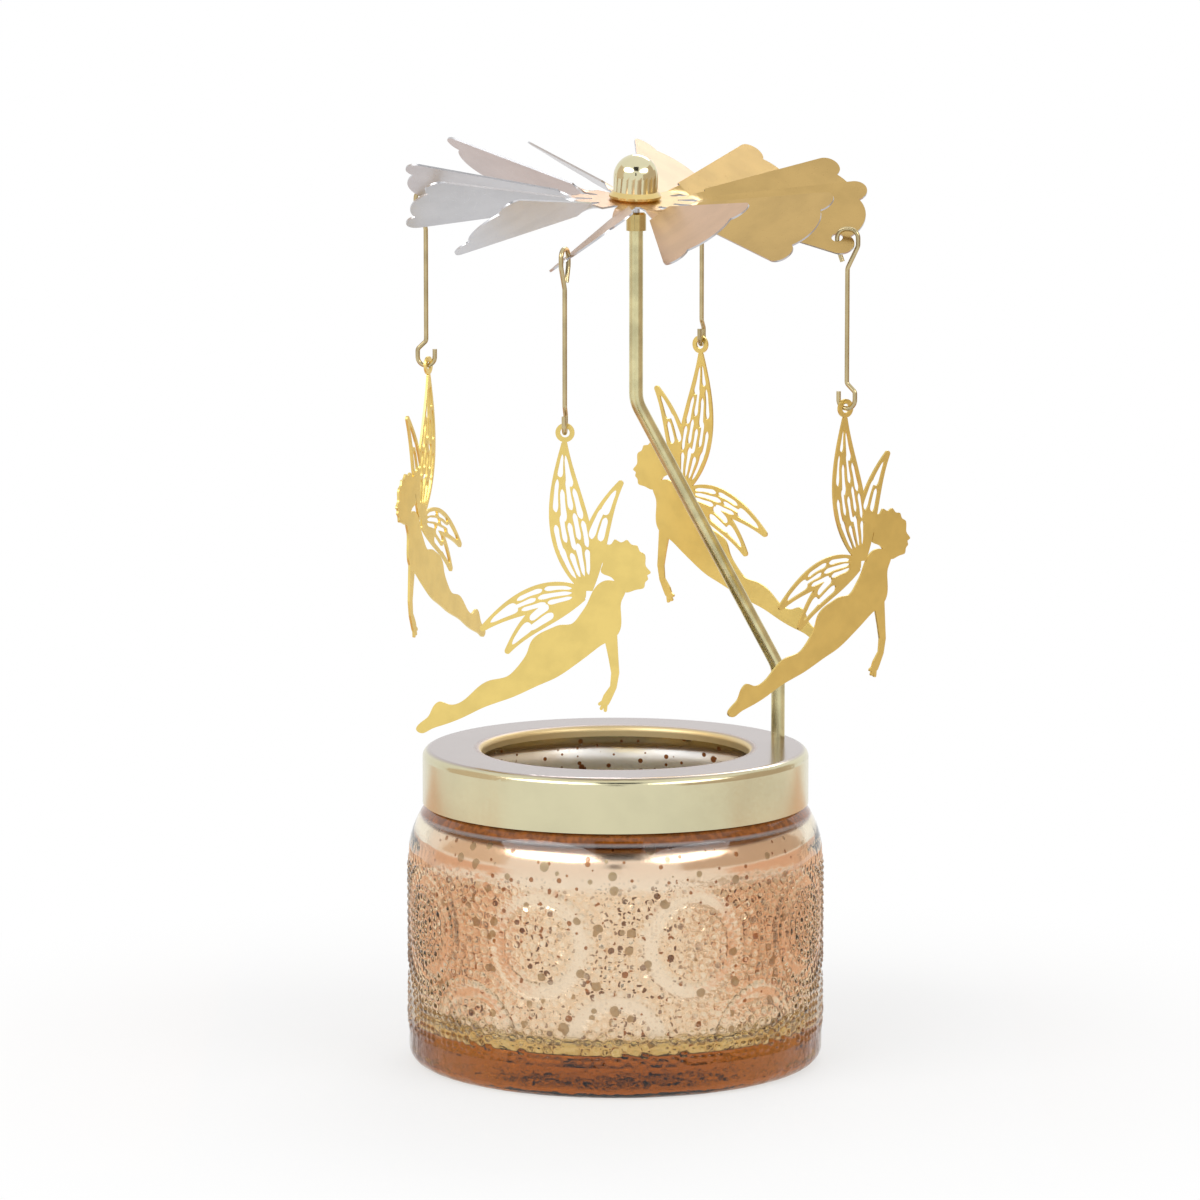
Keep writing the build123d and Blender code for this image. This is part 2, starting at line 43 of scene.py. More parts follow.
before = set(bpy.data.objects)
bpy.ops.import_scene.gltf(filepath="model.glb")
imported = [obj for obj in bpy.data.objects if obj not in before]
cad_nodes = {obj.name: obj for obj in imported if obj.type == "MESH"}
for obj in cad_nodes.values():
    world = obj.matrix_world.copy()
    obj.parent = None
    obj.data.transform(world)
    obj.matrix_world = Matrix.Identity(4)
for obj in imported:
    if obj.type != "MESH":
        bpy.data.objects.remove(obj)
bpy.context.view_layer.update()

MM = 0.001
SIDES = ("right", "back", "left", "front")
LEVEL = (1.0, 1.0, 0.0)

# The part of its 0 to 1 range that a noise mostly fills
NOISE_SPAN = (0.3, 0.7)

# Zones of the jar, in metres above the table: start, full, full, end
PRESSED_ZONE = (0.006, 0.0085, 0.043, 0.049)
# The neck under the lid gets painted shade, standing in for the shadowed reflection of the lid's underside
NECK_SHADE_ZONE = (0.0539, 0.0549, 0.070, 0.071)
FOOT_ZONE = (-0.002, -0.001, 0.007, 0.009)
# The silvering's shading slopes inward between these heights, in metres
NECK_SLOPE = (0.056, 0.066)

# Radii, from the jar's axis, where the finish of the lid's lip ends and the skirt's begins, in metres
LIP_END, SKIRT_START = 0.0300, 0.0310

# The rotor's axis, the direction in which its upper side is plain gold, and how far that way the painted
# pinkish reflection turns to gold
ROTOR_AXIS = (0.0044, 0.0, 0.0)
GOLD_DIRECTION = (0.998, 0.059, 0.0)
PAINTED_ROSE_EDGE = (0.46, 0.54)
# The rise of the normal where a face of the rotor begins to be lacquered, and where it is fully so
UPPER_SIDE = (0.64, 0.68)


# Node materials

def add(material, kind, inputs=None, **settings):
    """A shader node with its settings, and each input set or linked."""
    tree = material.node_tree
    node = tree.nodes.new("ShaderNode" + kind)
    for name, value in settings.items():
        setattr(node, name, value)
    for name, value in (inputs or {}).items():
        connect(material, node.inputs[name], value)
    return node


def connect(material, socket, value):
    if isinstance(value, bpy.types.NodeSocket):
        material.node_tree.links.new(value, socket)
    else:
        socket.default_value = value


def new_material(name, **surface):
    """A Principled material, with the surface's inputs given by name."""
    material = bpy.data.materials.new(name)
    material.use_nodes = True
    shader = material.node_tree.nodes["Principled BSDF"]
    for socket, value in surface.items():
        connect(material, shader.inputs[socket.replace("_", " ")], value)
    return material, shader


def object_noise(material, scale, detail=3.0, stretch=(1.0, 1.0, 1.0)):
    """Noise on the object's own coordinates. scale is in cells per metre."""
    place = add(material, "TexCoord")
    turned = add(material, "Mapping", {"Vector": place.outputs["Object"], "Scale": stretch})
    noise = add(material, "TexNoise", {
        "Vector": turned.outputs["Vector"], "Scale": scale, "Detail": detail})
    return noise.outputs["Fac"]


def ramp(material, factor, low, high, dark, light):
    """Maps factor from low..high to two colours, smoothly."""
    node = add(material, "MapRange", {
        "Value": factor, "From Min": low, "From Max": high}, interpolation_type="SMOOTHSTEP")
    return mix(material, node.outputs["Result"], dark, light)


def mix(material, factor, first, second, blend="MIX"):
    """Two colours mixed. The node has several sockets of each name, so its colour sockets go by number."""
    node = add(material, "Mix", data_type="RGBA", blend_type=blend)
    connect(material, node.inputs[0], factor)
    connect(material, node.inputs[6], first)
    connect(material, node.inputs[7], second)
    return node.outputs[2]


def product(material, first, second):
    return add(material, "Math", {0: first, 1: second}, operation="MULTIPLY").outputs[0]


def larger(material, first, second):
    return add(material, "Math", {0: first, 1: second}, operation="MAXIMUM").outputs[0]


def progress(material, value, start, end):
    """0 at start, 1 at end, straight between."""
    node = add(material, "MapRange", {"Value": value, "From Min": start, "From Max": end})
    return node.outputs["Result"]


def value_range(material, factor, low, high):
    """Maps a 0..1 factor to low..high."""
    node = add(material, "MapRange", {"Value": factor, "To Min": low, "To Max": high})
    return node.outputs["Result"]


def bump(material, height, depth, strength=1.0, below=None):
    """A bump normal. depth is the height of the pattern in metres."""
    inputs = {"Height": height, "Distance": depth, "Strength": strength}
    if below is not None:
        inputs["Normal"] = below
    return add(material, "Bump", inputs).outputs["Normal"]


def shade(colour, factor):
    """A colour made darker or lighter, as four values."""
    return tuple(min(1.0, channel * factor) for channel in colour[:3]) + (1.0,)


def plated_metal(name, colour, roughness, mottle=0.06, grain=(1.0, 1.0, 1.0), grain_scale=2500.0):
    """Plated metal: faint mottling in the colour, fine grain in the gloss."""
    material, shader = new_material(name, Metallic=1.0)
    cloud = object_noise(material, 220.0, 4.0)
    tone = ramp(material, cloud, *NOISE_SPAN, shade(colour, 1 - mottle), shade(colour, 1 + mottle))
    fine = object_noise(material, grain_scale, 2.0, grain)
    connect(material, shader.inputs["Base Color"], tone)
    gloss = value_range(material, fine, roughness * 0.75, roughness * 1.25)
    connect(material, shader.inputs["Roughness"], gloss)
    connect(material, shader.inputs["Normal"], bump(material, fine, 0.012 * MM, 0.3))
    return material


def two_sided_sheet(name, upper, painted_rose, lower, roughness):
    """Sheet lacquered gold on its upper side, with a painted pinkish reflection on the blades that point away
    from the gold direction; bare on its lower side and its cut edges.
    """
    upper, painted_rose = shade(upper, 1.0), shade(painted_rose, 1.0)
    material, shader = new_material(name, Metallic=1.0)
    place = add(material, "TexCoord")
    height = add(material, "SeparateXYZ", {"Vector": place.outputs["Normal"]}).outputs["Z"]
    upward = progress(material, height, *UPPER_SIDE)
    cloud = object_noise(material, 160.0, 5.0)
    away = add(material, "VectorMath", {0: place.outputs["Object"], 1: ROTOR_AXIS}, operation="SUBTRACT")
    level = add(material, "VectorMath", {0: away.outputs["Vector"], 1: LEVEL}, operation="MULTIPLY")
    heading = add(material, "VectorMath", {0: level.outputs["Vector"]}, operation="NORMALIZE")
    side = add(material, "VectorMath", {0: heading.outputs["Vector"], 1: GOLD_DIRECTION},
               operation="DOT_PRODUCT").outputs["Value"]
    # Painted reflection: blades that point away from the gold direction get a pinkish tone on their upper
    # side
    lacquer_and_painted_rose = ramp(material, side, *PAINTED_ROSE_EDGE, painted_rose, upper)
    spread = ramp(material, cloud, *NOISE_SPAN, (0.94, 0.94, 0.94, 1.0), (1.05, 1.05, 1.05, 1.0))
    gold = mix(material, 1.0, lacquer_and_painted_rose, spread, "MULTIPLY")
    silver = ramp(material, cloud, *NOISE_SPAN, shade(lower, 0.95), shade(lower, 1.04))
    connect(material, shader.inputs["Base Color"], mix(material, upward, silver, gold))
    fine = object_noise(material, 3000.0, 2.0)
    gloss = value_range(material, fine, roughness * 0.8, roughness * 1.2)
    connect(material, shader.inputs["Roughness"], gloss)
    connect(material, shader.inputs["Normal"], bump(material, fine, 0.015 * MM, 0.3))
    return material


def height_zone(material, height, low, low_full, high_full, high):
    """1 between low_full and high_full, 0 below low and above high. Heights in metres."""
    rise = progress(material, height, low, low_full)
    fall = progress(material, height, high, high_full)
    return product(material, rise, fall)


def amber_glass(settings):
    """Pressed glass whose body absorbs, so that thick places turn amber, with painted shade in the hollows
    between its beads, and a neck painted dark reddish brown and made less clear, as painted shade for the
    lid's shadowed underside that it reflects.
    """
    material, shader = new_material("amber_glass", IOR=1.5)
    place = add(material, "TexCoord")
    height = add(material, "SeparateXYZ", {"Vector": place.outputs["Object"]}).outputs["Z"]
    pressed = add(material, "Attribute", attribute_name="pressed").outputs["Fac"]
    flecks = spots(material, 1050.0, 0.42, (0.3, 0.9, 2.0))
    flecks = product(material, flecks, pressed)
    # Painted shade: the glass between the beads is tinted a darker amber
    hollow = product(material, pressed, 0.75)
    tone = mix(material, hollow, (1.0, 1.0, 1.0, 1.0), shade(settings.hollow_painted_shade, 1.0))
    tone = mix(material, flecks, tone, shade(settings.fleck_tint, 1.0))
    # Painted shade: the neck under the lid is tinted dark reddish brown and lets less light through
    neck_shade_zone_mask = height_zone(material, height, *NECK_SHADE_ZONE)
    painted_neck_shade = ramp(material, object_noise(material, 700.0, 3.0), 0.35, 0.70,
                  shade(settings.neck_shade_tint, 0.75), shade(settings.neck_shade_tint, 1.5))
    tone = mix(material, neck_shade_zone_mask, tone, painted_neck_shade)
    connect(material, shader.inputs["Transmission Weight"], value_range(material, neck_shade_zone_mask, 1.0, 0.3))
    foot = height_zone(material, height, *FOOT_ZONE)
    tone = mix(material, foot, tone, shade(settings.foot_tint, 1.0))
    connect(material, shader.inputs["Base Color"], tone)
    fine = object_noise(material, 900.0, 3.0)
    connect(material, shader.inputs["Roughness"], value_range(material, fine, 0.02, 0.07))
    wave = object_noise(material, 110.0, 2.0)
    wavy = bump(material, wave, 0.3 * MM, 0.25)
    foot_wave = product(material, object_noise(material, 190.0, 3.0), foot)
    connect(material, shader.inputs["Normal"], bump(material, foot_wave, 1.4 * MM, 0.5, wavy))
    absorption = add(material, "VolumeAbsorption", {
        "Color": tuple(settings.glass_tint) + (1.0,), "Density": settings.glass_density})
    output = material.node_tree.nodes["Material Output"]
    material.node_tree.links.new(absorption.outputs["Volume"], output.inputs["Volume"])
    return material


def spots(material, scale, size, shift, rarity=0.22):
    """1 inside scattered round spots of uneven size, 0 between them. A rarity of 1 leaves none."""
    place = add(material, "TexCoord")
    moved = add(material, "Mapping", {"Vector": place.outputs["Object"], "Location": shift})
    cells = add(material, "TexVoronoi", {
        "Vector": moved.outputs["Vector"], "Scale": scale, "Randomness": 1.0})
    pick = add(material, "SeparateColor", {"Color": cells.outputs["Color"]})
    radius = add(material, "MapRange", {
        "Value": pick.outputs["Red"], "From Min": rarity, "From Max": 1.0, "To Min": 0.0, "To Max": size})
    inside = add(material, "Math", {
        0: radius.outputs["Result"], 1: cells.outputs["Distance"]}, operation="SUBTRACT")
    return progress(material, inside.outputs[0], 0.0, 0.04)


def worn_silvering(settings):
    """Mirror coating, worn through in round spots and in a dense spray of flecks behind the pressed glass."""
    material, shader = new_material("worn_silvering", Metallic=1.0)
    place = add(material, "TexCoord")
    split = add(material, "SeparateXYZ", {"Vector": place.outputs["Object"]})
    pressed = height_zone(material, split.outputs["Z"], *PRESSED_ZONE)
    facing = add(material, "VectorMath", {0: place.outputs["Normal"], 1: place.outputs["Object"]},
                 operation="DOT_PRODUCT").outputs["Value"]
    outside = progress(material, facing, -0.001, 0.001)

    large = spots(material, 280.0, 0.36, (0.0, 0.0, 0.0), 0.08)
    middle = spots(material, 520.0, 0.32, (3.1, 1.7, 0.4), 0.15)
    fine = spots(material, 1050.0, 0.56, (1.3, 0.2, 5.0))
    cluster = progress(material, object_noise(material, 75.0, 2.0), 0.34, 0.56)
    dense = add(material, "Attribute", attribute_name="spray").outputs["Fac"]
    spray = product(material, product(material, fine, dense), cluster)

    silver = mix(material, pressed, shade(settings.shoulder_colour, 1.0), shade(settings.silver_colour, 1.0))
    inner_silver = (0.95, 0.93, 0.90, 1.0)
    silver = mix(material, outside, inner_silver, silver)
    brown = shade(settings.worn_colour, 1.0)
    tan = mix(material, outside, brown, shade(settings.spot_colour, 1.0))
    tone = mix(material, spray, silver, shade(settings.fleck_colour, 1.0))
    tone = mix(material, middle, tone, mix(material, outside, brown, shade(settings.fleck_colour, 2.2)))
    tone = mix(material, large, tone, tan)
    connect(material, shader.inputs["Base Color"], tone)
    polish = value_range(material, outside, 0.28, 0.19)
    gloss = value_range(material, larger(material, large, middle), polish, 0.4)
    connect(material, shader.inputs["Roughness"], gloss)
    neck_slope = progress(material, split.outputs["Z"], *NECK_SLOPE)
    sloped = bump(material, neck_slope, 1.7 * MM)
    ripple = bump(material, object_noise(material, 90.0, 3.0), 0.5 * MM, 0.4, sloped)
    crinkle = object_noise(material, 620.0, 2.0)
    connect(material, shader.inputs["Normal"], bump(
        material, product(material, crinkle, dense), 0.6 * MM, 0.9, ripple))
    return material


def plain_finish(name, colour, roughness, grain=0.0, **surface):
    """Non-metal with slight variation in tone and a fine grain."""
    material, shader = new_material(name, Roughness=roughness, **surface)
    cloud = object_noise(material, 300.0, 3.0)
    connect(material, shader.inputs["Base Color"], ramp(
        material, cloud, *NOISE_SPAN, shade(colour, 0.94), shade(colour, 1.04)))
    fine = object_noise(material, 2500.0, 2.0)
    connect(material, shader.inputs["Normal"], bump(material, fine, grain * MM, 0.5))
    return material


def finish_nodes(material, *nodes):
    """Gives CAD nodes a material."""
    for node in nodes:
        slots = cad_nodes[node].data.materials
        slots.clear()
        slots.append(material)


# Mesh tools

def mesh_object(name, mesh, material, smooth=True):
    """A bmesh as an object at the origin."""
    bmesh.ops.recalc_face_normals(mesh, faces=mesh.faces)
    data = bpy.data.meshes.new(name)
    mesh.to_mesh(data)
    mesh.free()
    for polygon in data.polygons:
        polygon.use_smooth = smooth
    data.materials.append(material)
    piece = bpy.data.objects.new(name, data)
    bpy.context.collection.objects.link(piece)
    return piece


def profile_of(mesh, corners):
    """A line of edges through (radius, height, rounding) in millimetres, in the XZ plane."""
    made = [mesh.verts.new((radius * MM, 0.0, height * MM)) for radius, height, rounding in corners]
    for start, end in zip(made, made[1:]):
        mesh.edges.new((start, end))
    for vert, (radius, height, rounding) in zip(made, corners):
        if rounding:
            bmesh.ops.bevel(mesh, geom=[vert], offset=rounding * MM, offset_type="OFFSET", segments=7,
                            profile=0.5, affect="VERTICES", material=-1)


def turn(mesh, steps):
    """Spins the profile once round Z and closes it."""
    bmesh.ops.spin(mesh, geom=mesh.verts[:] + mesh.edges[:], cent=(0, 0, 0), axis=(0, 0, 1),
                   angle=2 * pi, steps=steps, use_merge=True)
    bmesh.ops.remove_doubles(mesh, verts=mesh.verts, dist=0.002 * MM)


# Jar

class JarSettings(bpy.types.PropertyGroup):
    """Sizes and colours of the silvered jar."""
    wall: bpy.props.FloatProperty(name="Wall", description="Thickness of the glass, mm", default=3.6)
    base: bpy.props.FloatProperty(name="Base", description="Thickness of the glass base, mm", default=8.0)
    neck: bpy.props.FloatProperty(name="Neck", description="Outer diameter of the neck, mm", default=80.4)
    shoulder_start: bpy.props.FloatProperty(
        name="Shoulder start", description="Height where the wall would meet the shoulder, mm", default=53.0)
    shoulder_end: bpy.props.FloatProperty(
        name="Shoulder end", description="Height of the ledge under the lid, mm", default=57.5)
    relief: bpy.props.FloatProperty(
        name="Relief", description="Height of the pressed beads, mm", default=0.42, min=0.0, max=1.0)
    bead: bpy.props.FloatProperty(name="Bead", description="Pitch of the pressed beads, mm", default=2.1)
    rosettes: bpy.props.IntProperty(
        name="Rosettes", description="Rosettes in one row round the jar", default=8)
    lower_row: bpy.props.FloatProperty(
        name="Lower row", description="Height of the lower rosettes, mm", default=10.5)
    upper_row: bpy.props.FloatProperty(
        name="Upper row", description="Height of the upper rosettes, mm", default=32.5)
    rosette_ring: bpy.props.FloatProperty(
        name="Rosette ring", description="Radius of the clear ring round a rosette, mm", default=9.0)
    glass_tint: bpy.props.FloatVectorProperty(
        name="Glass tint", description="Colour that the glass lets through", subtype="COLOR",
        default=(0.862, 0.692, 0.308), min=0.0, max=1.0)
    # Painted shade of the neck under the lid, standing in for the lid's shadowed underside that it reflects
    neck_shade_tint: bpy.props.FloatVectorProperty(
        name="Band tint", description="Copper tint of the neck under the lid", subtype="COLOR",
        default=(0.31, 0.09, 0.01), min=0.0, max=1.0)
    # Painted shade in the hollows between the beads
    hollow_painted_shade: bpy.props.FloatVectorProperty(
        name="Hollow tint", description="Tint of the pressed glass between its beads", subtype="COLOR",
        default=(0.91, 0.68, 0.47), min=0.0, max=1.0)
    foot_tint: bpy.props.FloatVectorProperty(
        name="Foot tint", description="Deeper tint of the thick foot", subtype="COLOR",
        default=(0.78, 0.63, 0.20), min=0.0, max=1.0)
    fleck_tint: bpy.props.FloatVectorProperty(
        name="Fleck tint", description="Tint of scattered flecks in the pressed glass", subtype="COLOR",
        default=(0.66, 0.42, 0.24), min=0.0, max=1.0)
    glass_density: bpy.props.FloatProperty(
        name="Glass density", description="How strongly the glass absorbs, per metre", default=78.0)
    silver_colour: bpy.props.FloatVectorProperty(
        name="Silver", description="Colour of the mirror coating", subtype="COLOR",
        default=(0.95, 0.90, 0.86), min=0.0, max=1.0)
    shoulder_colour: bpy.props.FloatVectorProperty(
        name="Shoulder silver", description="Colour of the coating behind the smooth shoulder",
        subtype="COLOR", default=(0.90, 0.74, 0.64), min=0.0, max=1.0)
    worn_colour: bpy.props.FloatVectorProperty(
        name="Worn", description="Colour of worn spots seen from inside", subtype="COLOR",
        default=(0.24, 0.09, 0.03), min=0.0, max=1.0)
    spot_colour: bpy.props.FloatVectorProperty(
        name="Spots", description="Colour of the large worn spots seen through the glass", subtype="COLOR",
        default=(0.56, 0.44, 0.30), min=0.0, max=1.0)
    fleck_colour: bpy.props.FloatVectorProperty(
        name="Flecks", description="Colour of the fine worn flecks", subtype="COLOR",
        default=(0.20, 0.09, 0.035), min=0.0, max=1.0)


# Width of the standing foot and of its slope, and height of the hollow under the base, in millimetres
FOOT_WIDTH, FOOT_SLOPE, UNDERSIDE = 12.2, 3.0, 1.2
# Rounding of the corners, in millimetres: outside, inside and of the lining
FOOT_ROUND, HEEL_ROUND, SHOULDER_ROUND, LEDGE_ROUND, RIM_ROUND = 0.8, 3.2, 6.9, 0.8, 1.2
INNER_LEDGE_ROUND, INNER_SHOULDER_ROUND, INNER_HEEL_ROUND = 1.2, 3.3, 7.0
LINING_LEDGE_ROUND, LINING_HEEL_ROUND = 1.1, 6.9
# Gap between the glass and its lining, on the wall, on the base and on the ledge, in millimetres
WALL_GAP, BASE_GAP, LEDGE_GAP = 0.12, 0.15, 0.06
# How far the lining runs in over the base, ends below the rim, and its thickness, in millimetres
LINING_INSET, LINING_END, LINING_THICKNESS = 6.0, 0.9, 0.05
# Steps round the jar and cuts up its straight wall, whose edge is longer than this, in millimetres
GLASS_STEPS, GLASS_CUTS = 560, 94
LINING_STEPS, LINING_CUTS = 320, 52
WALL_EDGE = 20
# How near the outer radius a vertex counts as on the wall, in millimetres
ON_WALL = 0.02
# Heights where the relief and the spray start, are full, and end, in millimetres
RELIEF_HEIGHTS = (6.0, 9.0, 43.5, 46.0)
SPRAY_HEIGHTS = (7.5, 9.0, 43.0, 48.0)
# Space between beads on a ring and radius of a rosette's middle bead, both in pitches of the beads
BEAD_SPACE, MIDDLE_BEAD = 0.9, 0.4
# Where a clear ring starts, is full, and ends, from its radius outward, in millimetres
RING_EDGES = (-1.0, 0.0, 2.2, 3.4)
# How much of the beads and the spray, and of the hollows' painted shade, a clear ring takes away
RING_CLEARS, RING_PALES = 0.9, 0.6


def outer_wall_corners(settings, outer, rim):
    """Radius, height and rounding of each corner, in millimetres, from the base's middle up to the rim."""
    neck = settings.neck / 2
    foot = outer - FOOT_WIDTH
    return [
        (0.0, UNDERSIDE, 0), (foot, UNDERSIDE, FOOT_ROUND), (foot + FOOT_SLOPE, 0.0, FOOT_ROUND),
        (outer, 0.0, HEEL_ROUND), (outer, settings.shoulder_start, SHOULDER_ROUND),
        (neck, settings.shoulder_end, LEDGE_ROUND), (neck, rim, RIM_ROUND),
    ]


def inner_wall_corners(settings, outer, rim):
    """The same from the rim down to the middle of the base, inside."""
    neck = settings.neck / 2 - settings.wall
    inner = outer - settings.wall
    return [
        (neck, rim, RIM_ROUND), (neck, settings.shoulder_end - settings.wall / 2, INNER_LEDGE_ROUND),
        (inner, settings.shoulder_start - settings.wall / 2, INNER_SHOULDER_ROUND),
        (inner, settings.base, INNER_HEEL_ROUND), (0.0, settings.base, 0),
    ]


def lining_corners(settings, outer, rim):
    """The same for the silvering, from the base up to just below the rim."""
    inner = outer - settings.wall - WALL_GAP
    neck = settings.neck / 2 - settings.wall - WALL_GAP
    bottom = settings.base + BASE_GAP
    return [
        (inner - LINING_INSET, bottom, 0), (inner, bottom, LINING_HEEL_ROUND),
        (inner, settings.shoulder_start - settings.wall / 2 - WALL_GAP, INNER_SHOULDER_ROUND),
        (neck, settings.shoulder_end - settings.wall / 2 - LEDGE_GAP, LINING_LEDGE_ROUND),
        (neck, rim - LINING_END, 0),
    ]


def from_rosette(along, across, settings, length):
    """Distance, x and y from the nearest rosette's centre, in millimetres, on the unrolled wall."""
    spacing = length / settings.rosettes
    nearest = None
    for height, shift in ((settings.lower_row, 0.0), (settings.upper_row, 0.5)):
        column = round(along / spacing - shift) + shift
        x, y = along - column * spacing, across - height
        if nearest is None or hypot(x, y) < nearest[0]:
            nearest = (hypot(x, y), x, y)
    return nearest


def bead_height(along, across, settings, length):
    """Height of the pressed pattern, 0 to 1: rings of beads round the nearest rosette's centre."""
    reach, x, y = from_rosette(along, across, settings, length)
    ring = max(1, round(reach / settings.bead))
    beads = max(6, round(2 * pi * ring / BEAD_SPACE))
    ring_share = reach / settings.bead - ring
    bead_share = atan2(y, x) * beads / (2 * pi) + 0.5 * (ring % 2)
    bead_share -= round(bead_share)
    if abs(ring_share) > 0.5:
        return 1.0 if reach < settings.bead * MIDDLE_BEAD else 0.0
    return cos(pi * ring_share) ** 2 * cos(pi * bead_share) ** 2


def fade(value, start, end):
    """0 at start, 1 at end, smooth between."""
    share = min(1.0, max(0.0, (value - start) / (end - start)))
    return share * share * (3 - 2 * share)


def between(value, start, full, last, end):
    """1 between full and last, falling smoothly to 0 at start and at end."""
    return fade(value, start, full) * (1 - fade(value, last, end))


def clear_ring(reach, settings):
    """1 in the plain ring round a rosette, 0 away from it."""
    return between(reach, *(settings.rosette_ring + edge for edge in RING_EDGES))


class CAROUSEL_OT_jar(bpy.types.Operator):
    """Makes the pressed glass jar and the worn silvering that lines it"""
    bl_idname = "carousel.jar"
    bl_label = "Silvered jar"

    def execute(self, context):
        settings = context.scene.carousel_jar
        low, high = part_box("glass_jar")
        outer = (high[0] - low[0]) / 2 / MM
        rim = high[2] / MM
        mesh = bmesh.new()
        profile_of(mesh, outer_wall_corners(settings, outer, rim) + inner_wall_corners(settings, outer, rim))
        wall = [edge for edge in mesh.edges if edge.calc_length() > WALL_EDGE * MM
                and min(vert.co.x for vert in edge.verts) > (outer - ON_WALL) * MM]
        bmesh.ops.subdivide_edges(mesh, edges=wall, cuts=GLASS_CUTS)
        turn(mesh, GLASS_STEPS)
        pressed = mesh.verts.layers.float.new("pressed")
        length = 2 * pi * outer
        for vert in mesh.verts:
            radius = hypot(vert.co.x, vert.co.y) / MM
            height = vert.co.z / MM
            if radius < outer - ON_WALL or not RELIEF_HEIGHTS[0] < height < RELIEF_HEIGHTS[-1]:
                continue
            along = atan2(vert.co.y, vert.co.x) * outer
            edge = between(height, *RELIEF_HEIGHTS)
            plain = clear_ring(from_rosette(along, height, settings, length)[0], settings)
            bead = bead_height(along, height, settings, length) * (1 - RING_CLEARS * plain)
            # The pressed attribute is 1 in the hollows between beads, where the glass gets painted shade and
            # its flecks
            vert[pressed] = edge * (1 - bead) * (1 - RING_PALES * plain)
            scale = (radius + settings.relief * edge * bead) / radius
            vert.co.x *= scale
            vert.co.y *= scale
        jar = mesh_object("pressed_jar", mesh, amber_glass(settings))
        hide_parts("glass_jar")
        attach(jar, "jar")

        mesh = bmesh.new()
        profile_of(mesh, lining_corners(settings, outer, rim))
        wall = [edge for edge in mesh.edges if edge.calc_length() > WALL_EDGE * MM]
        bmesh.ops.subdivide_edges(mesh, edges=wall, cuts=LINING_CUTS)
        turn(mesh, LINING_STEPS)
        spray = mesh.verts.layers.float.new("spray")
        for vert in mesh.verts:
            height = vert.co.z / MM
            along = atan2(vert.co.y, vert.co.x) * outer
            reach = from_rosette(along, height, settings, length)[0]
            plain = clear_ring(reach, settings)
            vert[spray] = between(height, *SPRAY_HEIGHTS) * (1 - RING_CLEARS * plain)
        lining = mesh_object("silvering", mesh, worn_silvering(settings))
        solid = lining.modifiers.new("thickness", "SOLIDIFY")
        solid.thickness = LINING_THICKNESS * MM
        solid.offset = 0
        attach(lining, "jar")
        return {"FINISHED"}


# Lid

class LidSettings(bpy.types.PropertyGroup):
    """Colours of the pressed lid."""
    skirt: bpy.props.FloatVectorProperty(
        name="Skirt", description="Colour of the lid's skirt", subtype="COLOR",
        default=(0.65, 0.605, 0.40), min=0.0, max=1.0)
    lip: bpy.props.FloatVectorProperty(
        name="Lip", description="Colour of the lip inside the mouth", subtype="COLOR",
        default=(0.74, 0.60, 0.34), min=0.0, max=1.0)
    # Painted reflection: the top face's colour stands in for what the level top reflects
    top: bpy.props.FloatVectorProperty(
        name="Top", description="Colour of the lid's top face", subtype="COLOR",
        default=(0.38, 0.32, 0.305), min=0.0, max=1.0)
    gasket: bpy.props.FloatVectorProperty(
        name="Gasket", description="Colour of the soft ring", subtype="COLOR",
        default=(0.80, 0.79, 0.76), min=0.0, max=1.0)


def polished_lid(settings):
    """Polished plate: its level top painted a cooler, darker tone that stands in for the reflection seen
    there, and a warmer and duller tone on the lip in its mouth.
    """
    material, shader = new_material("polished_lid", Metallic=1.0)
    place = add(material, "TexCoord")
    height = add(material, "SeparateXYZ", {"Vector": place.outputs["Normal"]}).outputs["Z"]
    level = progress(material, height, 0.75, 0.98)
    cloud = object_noise(material, 60.0, 4.0)
    skirt = ramp(material, cloud, 0.25, 0.75, shade(settings.skirt, 0.93), shade(settings.skirt, 1.06))
    spread = add(material, "VectorMath", {
        0: place.outputs["Object"], 1: LEVEL}, operation="MULTIPLY").outputs["Vector"]
    reach = add(material, "VectorMath", {0: spread}, operation="LENGTH").outputs["Value"]
    skirt = ramp(material, reach, LIP_END, SKIRT_START, shade(settings.lip, 1.0), skirt)
    # Painted reflection: faces whose normal points up get the cooler, darker top tone
    top = ramp(material, cloud, 0.25, 0.75, shade(settings.top, 0.97), shade(settings.top, 1.03))
    connect(material, shader.inputs["Base Color"], mix(material, level, skirt, top))
    fine = object_noise(material, 1400.0, 3.0)
    gloss = value_range(material, fine, 0.13, 0.24)
    off_lip = progress(material, reach, LIP_END, SKIRT_START)
    connect(material, shader.inputs["Roughness"], value_range(material, off_lip, 0.45, gloss))
    connect(material, shader.inputs["Normal"], bump(material, fine, 0.01 * MM, 0.4))
    return material


class CAROUSEL_OT_lid(bpy.types.Operator):
    """Finishes the lid ring and the soft ring under it"""
    bl_idname = "carousel.lid"
    bl_label = "Lid"

    def execute(self, context):
        settings = context.scene.carousel_lid
        finish_nodes(polished_lid(settings), "lid_ring")
        soft_ring = plain_finish("soft_ring", settings.gasket, 0.45, 0.01, Subsurface_Weight=0.2)
        finish_nodes(soft_ring, "lid_gasket")
        return {"FINISHED"}


# Mast and hub

